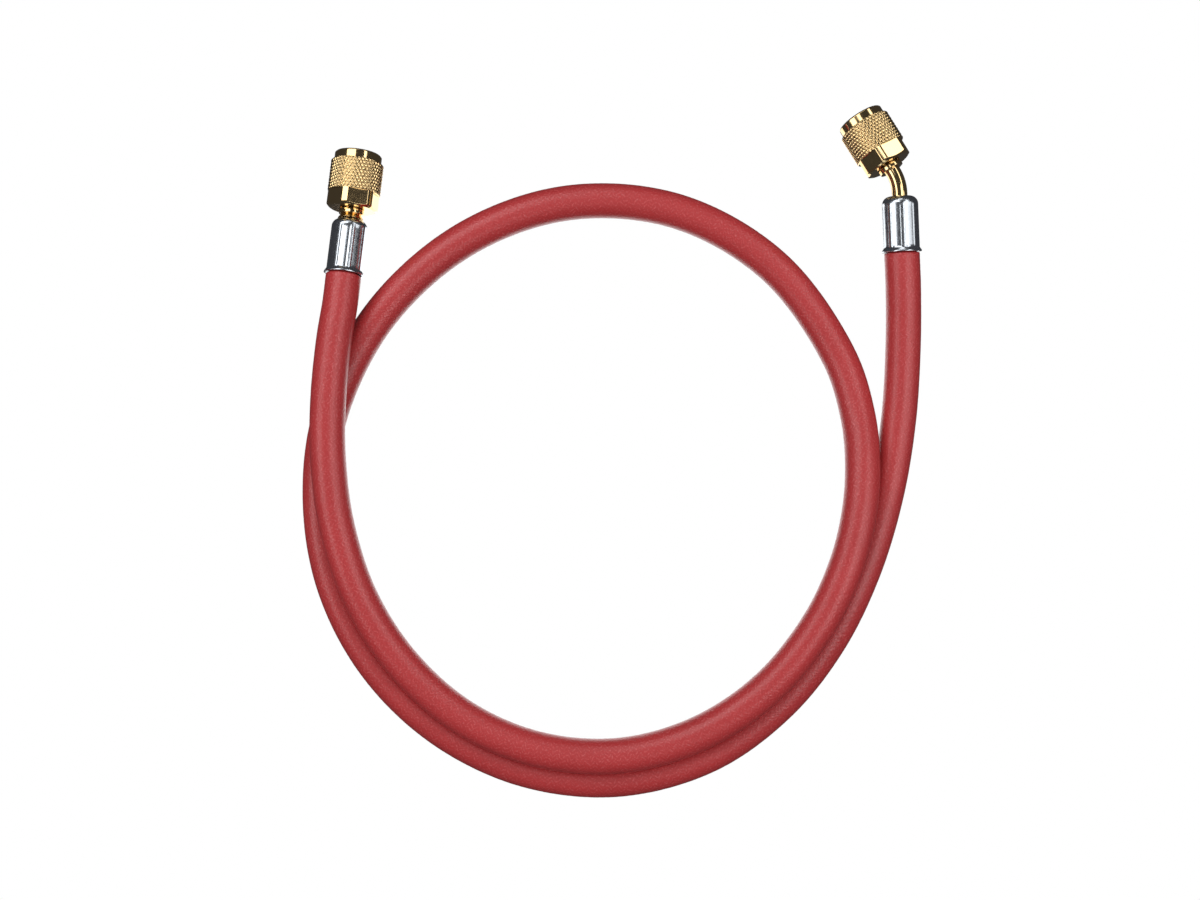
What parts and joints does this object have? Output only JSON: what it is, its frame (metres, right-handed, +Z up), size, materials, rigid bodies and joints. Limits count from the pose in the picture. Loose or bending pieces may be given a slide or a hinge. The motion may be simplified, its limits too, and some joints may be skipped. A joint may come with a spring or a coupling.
{
  "type": "refrigerant charging hose",
  "caption": "Flexible red refrigerant hose with crimped ferrules and knurled brass swivel flare nuts, one straight end and one elbow end, laid in a loop.",
  "frame": {"origin": "on the floor, midway between the two end fittings: the bottom centre of the box round both ends, with the free hose left out", "axes": "+X from the straight end towards the elbow end, +Y away from the loop, the way the ends point, +Z up"},
  "size_m": [0.2239, 0.2502, 0.0257],
  "materials": {
    "red_rubber": "matt red cover with a fine cloth-impressed pattern",
    "zinc_plated_steel": "bright bluish zinc plate with lengthwise crimp flats",
    "brass": "bright turned and milled brass, diamond knurl on the grips",
    "black_rubber": "smooth black seal rubber"
  },
  "bodies": {
    "hose_assembly": {"hose": "red_rubber", "straight_ferrule": "zinc_plated_steel", "straight_tail": "brass", "straight_seal_ring": "black_rubber", "elbow_ferrule": "zinc_plated_steel", "elbow_tail": "brass", "elbow_seal_ring": "black_rubber", "core_depressor": "brass"},
    "straight_nut": {"straight_nut": "brass"},
    "elbow_nut": {"elbow_nut": "brass"}
  },
  "joints": [
    {"name": "straight_nut_swivel", "type": "hinge", "parent": "hose_assembly", "child": "straight_nut", "pos_m": [-0.09765, -0.00496, 0.01142], "axis": [0.1032, 0.9859, -0.1315], "continuous": true},
    {"name": "elbow_nut_swivel", "type": "hinge", "parent": "hose_assembly", "child": "elbow_nut", "pos_m": [0.09495, 0.01068, 0.01193], "axis": [-0.4941, 0.8539, -0.1635], "continuous": true}
  ]
}
